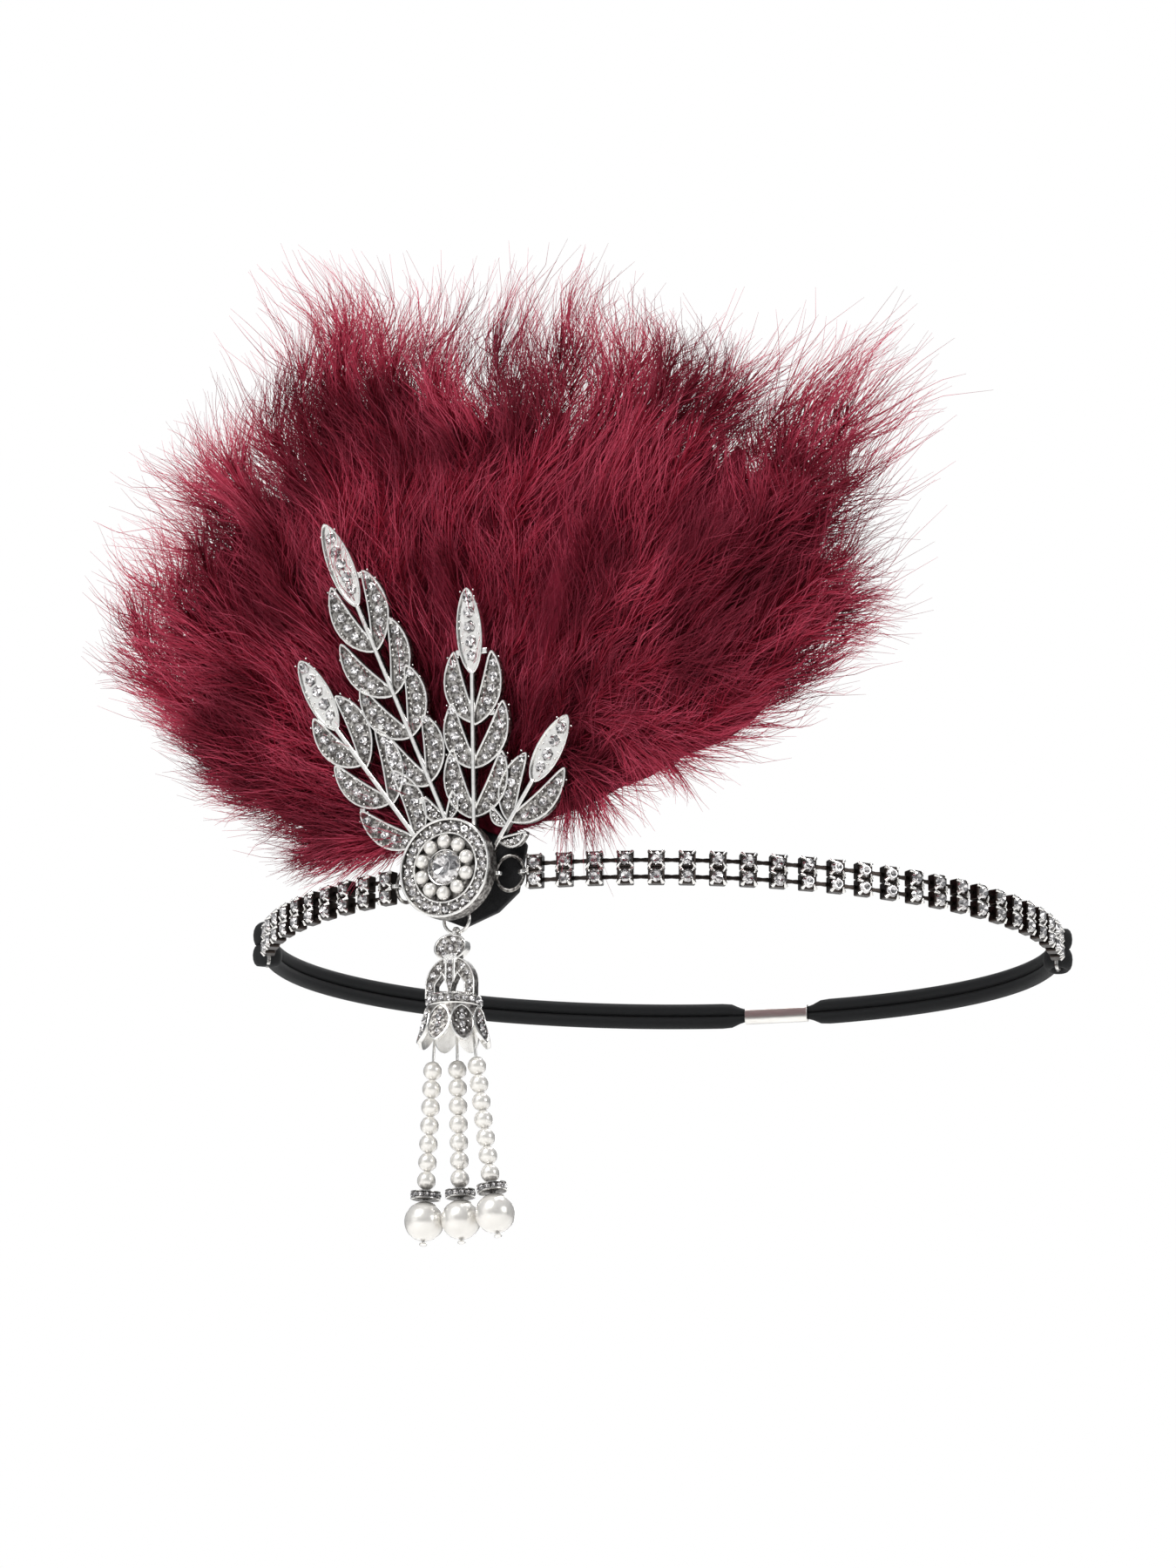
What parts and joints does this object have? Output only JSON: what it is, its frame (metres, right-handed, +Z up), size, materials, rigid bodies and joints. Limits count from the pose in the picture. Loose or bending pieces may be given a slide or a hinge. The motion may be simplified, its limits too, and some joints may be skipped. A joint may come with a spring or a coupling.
{
  "type": "flapper feather headband",
  "caption": "Headband of two-row rhinestone chain and elastic cord, with a pearl and crystal brooch, leaf spray, feather plume and hanging pearl drop.",
  "frame": {"origin": "centre of the band's loop at half the band's height, where a head would sit", "axes": "+Z up, -Y to the front of the band, +X to the wearer's left (right in the picture)"},
  "size_m": [0.2117, 0.1782, 0.2198],
  "materials": {
    "rhinestone_chain": "silver-plated brass cups with clear cut glass stones",
    "elastic": "black braided satin over rubber core, matte with a slight sheen",
    "silver": "antiqued silver plate, near-black in the recesses and bright on the rims",
    "crystal": "clear cut glass, polished, foil-backed",
    "pearl": "cream imitation pearl with a soft lustre",
    "felt": "black wool felt, matte",
    "feather": "burgundy marabou down, pinkish at the thin tips"
  },
  "bodies": {
    "root": {"chain_left": "rhinestone_chain", "chain_right": "rhinestone_chain", "elastic_left": "elastic", "elastic_right": "elastic", "crimp": "silver", "medallion": "silver", "centre_crystal": "crystal", "medallion_pearl_01": "pearl", "medallion_pearl_02": "pearl", "medallion_pearl_03": "pearl", "medallion_pearl_04": "pearl", "medallion_pearl_05": "pearl", "medallion_pearl_06": "pearl", "medallion_pearl_07": "pearl", "medallion_pearl_08": "pearl", "medallion_pearl_09": "pearl", "medallion_pearl_10": "pearl", "backing_pad": "felt", "leaf_spray": "silver", "feather_plume": "feather", "side_ring_left": "silver", "side_ring_right": "silver"},
    "drop_ring": {"drop_ring": "silver"},
    "drop": {"drop_casting": "silver", "pearl_string_left": "pearl", "rondelle_left": "rhinestone_chain", "drop_pearl_left": "pearl", "pearl_string_middle": "pearl", "rondelle_middle": "rhinestone_chain", "drop_pearl_middle": "pearl", "pearl_string_right": "pearl", "rondelle_right": "rhinestone_chain", "drop_pearl_right": "pearl"}
  },
  "joints": [
    {"name": "ring_sway", "type": "hinge", "parent": "root", "child": "drop_ring", "pos_m": [-0.04342, -0.06947, -0.0058], "axis": [-0.4589, -0.8885, 0], "range_deg": [-20, 20]},
    {"name": "drop_swing", "type": "hinge", "parent": "drop_ring", "child": "drop", "pos_m": [-0.04342, -0.06947, -0.0118], "axis": [0.8885, -0.4589, 0], "range_deg": [-45, 12]}
  ]
}
